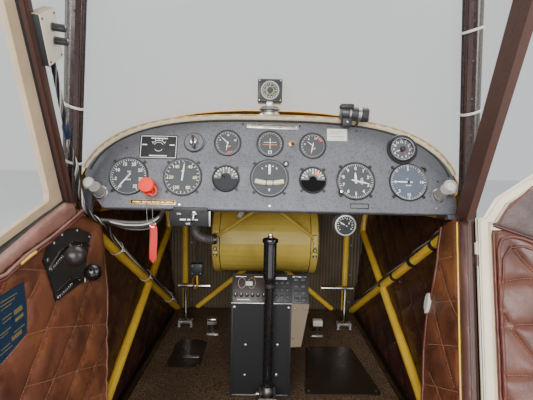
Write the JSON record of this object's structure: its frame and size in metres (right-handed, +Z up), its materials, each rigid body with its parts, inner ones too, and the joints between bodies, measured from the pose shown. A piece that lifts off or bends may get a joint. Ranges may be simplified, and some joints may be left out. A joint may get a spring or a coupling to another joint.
{
  "type": "light aircraft forward cockpit section",
  "caption": "Forward cockpit section of a high-wing light aircraft with tube frame, instrument panel, stick, pedals, tank, glazing and an open side door.",
  "frame": {"origin": "on the underside of the belly, midway between the sides, below the lower edge of the instrument panel", "axes": "+X to the pilot's right, +Y forward to the firewall, +Z up"},
  "size_m": [1.4889, 1.3435, 1.1584],
  "materials": {
    "frame_yellow": "gloss yellow enamel",
    "shell_cream": "satin cream paint",
    "cowl_orange": "gloss orange-yellow paint",
    "firewall_metal": "dull sheet metal",
    "vinyl_brown": "smooth brown vinyl",
    "leather_brown": "quilted chestnut leather",
    "leather_dark": "quilted dark leather",
    "carpet": "looped carpet",
    "clear_sheet": "clear acrylic sheet",
    "panel_grey": "dark grey crackle paint",
    "instrument_black": "black instrument case",
    "bright_metal": "bright plated steel",
    "bare_metal": "satin metal",
    "black_paint": "black crinkle paint",
    "rubber_black": "black grip and cable covering",
    "safety_red": "red-orange cap and woven streamer",
    "case_cream": "cream case"
  },
  "bodies": {
    "airframe": {"floor_frame": "frame_yellow", "side_frame_left": "frame_yellow", "side_frame_right": "frame_yellow", "firewall_frame": "frame_yellow", "upper_frame": "frame_yellow", "windscreen_post_left": "vinyl_brown", "windscreen_post_right": "vinyl_brown", "window_brace_left": "vinyl_brown", "window_brace_right": "vinyl_brown", "belly_skin": "shell_cream", "cowl_top": "cowl_orange", "firewall": "firewall_metal", "outer_skin_left": "shell_cream", "outer_skin_right": "shell_cream", "roof_skin": "shell_cream", "windscreen": "clear_sheet", "quarter_window_left": "clear_sheet", "quarter_window_right": "clear_sheet", "side_window_frame": "shell_cream", "side_window_glass": "clear_sheet", "floor_board": "carpet", "cabin_lining_left": "leather_brown", "cabin_lining_right": "leather_brown", "footwell_lining_left": "leather_dark", "footwell_lining_right": "leather_dark", "door_post_cover": "vinyl_brown", "sill_trim_left": "leather_brown", "instrument_panel": "panel_grey", "tachometer": "instrument_black", "airspeed_indicator": "instrument_black", "oil_temperature_gauge": "instrument_black", "turn_indicator": "instrument_black", "oil_pressure_gauge": "instrument_black", "altimeter": "instrument_black", "climb_indicator": "instrument_black", "upper_gauge_left": "instrument_black", "upper_gauge_middle": "instrument_black", "upper_gauge_right": "instrument_black", "clock": "instrument_black", "rim_roll": "case_cream", "compass": "instrument_black", "rim_lamp": "instrument_black", "lower_gauge": "bright_metal", "safety_cap": "safety_red", "wiring": "rubber_black", "intercom_box": "case_cream", "fuel_tank": "frame_yellow", "tank_mount": "frame_yellow", "radio_console": "black_paint", "throttle_quadrant": "instrument_black", "heel_brake_left": "bare_metal", "heel_brake_right": "bare_metal"},
    "door": {"door_shell": "shell_cream", "door_lining": "leather_brown", "door_window": "clear_sheet"},
    "stick_fork": {"stick_mount": "bare_metal"},
    "stick": {"control_stick": "rubber_black"},
    "left_pedal": {"pedal_left": "bright_metal"},
    "right_pedal": {"pedal_right": "bright_metal"}
  },
  "joints": [
    {"name": "door_hinge", "type": "hinge", "parent": "airframe", "child": "door", "pos_m": [0.37597, -0.12737, 0.25], "axis": [0.0917, 0.344, 0.9345], "range_deg": [-70, 20]},
    {"name": "stick_roll", "type": "hinge", "parent": "airframe", "child": "stick_fork", "pos_m": [0.004, -0.01, 0.06], "axis": [0, 1, 0], "range_deg": [-18, 18]},
    {"name": "stick_pitch", "type": "hinge", "parent": "stick_fork", "child": "stick", "pos_m": [0.004, 0.086, 0.06], "axis": [1, 0, 0], "range_deg": [0, 28]},
    {"name": "pedal_left_swing", "type": "hinge", "parent": "airframe", "child": "left_pedal", "pos_m": [-0.276, 0.5, 0.048], "axis": [1, 0, 0], "range_deg": [-15, 15]},
    {"name": "pedal_right_swing", "type": "hinge", "parent": "airframe", "child": "right_pedal", "pos_m": [0.276, 0.5, 0.048], "axis": [1, 0, 0], "range_deg": [-15, 15]}
  ],
  "couplings": [
    {"joint": "pedal_right_swing", "follows": "pedal_left_swing", "ratio": -1}
  ]
}
